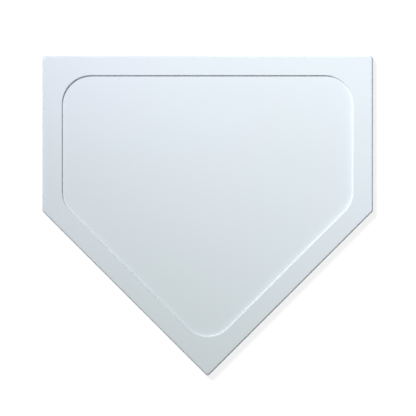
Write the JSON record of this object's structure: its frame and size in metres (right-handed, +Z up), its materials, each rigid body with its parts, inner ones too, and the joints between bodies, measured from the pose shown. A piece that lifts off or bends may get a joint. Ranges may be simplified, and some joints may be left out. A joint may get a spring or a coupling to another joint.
{
  "type": "home plate",
  "caption": "Pentagon home plate: a white rubber cover with a raised rim round a sunken field, turned in under a plywood board and closed from below by a black waffle grip pad.",
  "frame": {"origin": "on the ground, under the middle of the plate's box", "axes": "+Z up out of the playing face, +X along the straight front edge, +Y from the point towards the front edge"},
  "size_m": [0.4318, 0.4176, 0.0159],
  "materials": {
    "white_rubber": "smooth moulded rubber with a soft sheen",
    "black_rubber": "matt moulded rubber",
    "plywood": "sanded veneer with bare ply edges",
    "zinc_steel": "bright zinc plate"
  },
  "bodies": {
    "root": {"plate_cover": "white_rubber", "core_board": "plywood", "waffle_pad": "black_rubber", "pad_screw_1": "zinc_steel", "pad_screw_2": "zinc_steel", "pad_screw_3": "zinc_steel", "pad_screw_4": "zinc_steel", "pad_screw_5": "zinc_steel", "pad_screw_6": "zinc_steel", "pad_screw_7": "zinc_steel", "pad_screw_8": "zinc_steel", "pad_screw_9": "zinc_steel", "pad_screw_10": "zinc_steel", "pad_screw_11": "zinc_steel", "cup_washer_1": "zinc_steel", "cup_washer_2": "zinc_steel", "cup_washer_3": "zinc_steel", "cup_washer_4": "zinc_steel", "cup_washer_5": "zinc_steel", "cup_washer_6": "zinc_steel", "cup_washer_7": "zinc_steel", "cup_washer_8": "zinc_steel", "cup_washer_9": "zinc_steel", "cup_washer_10": "zinc_steel", "cup_washer_11": "zinc_steel"}
  },
  "joints": []
}
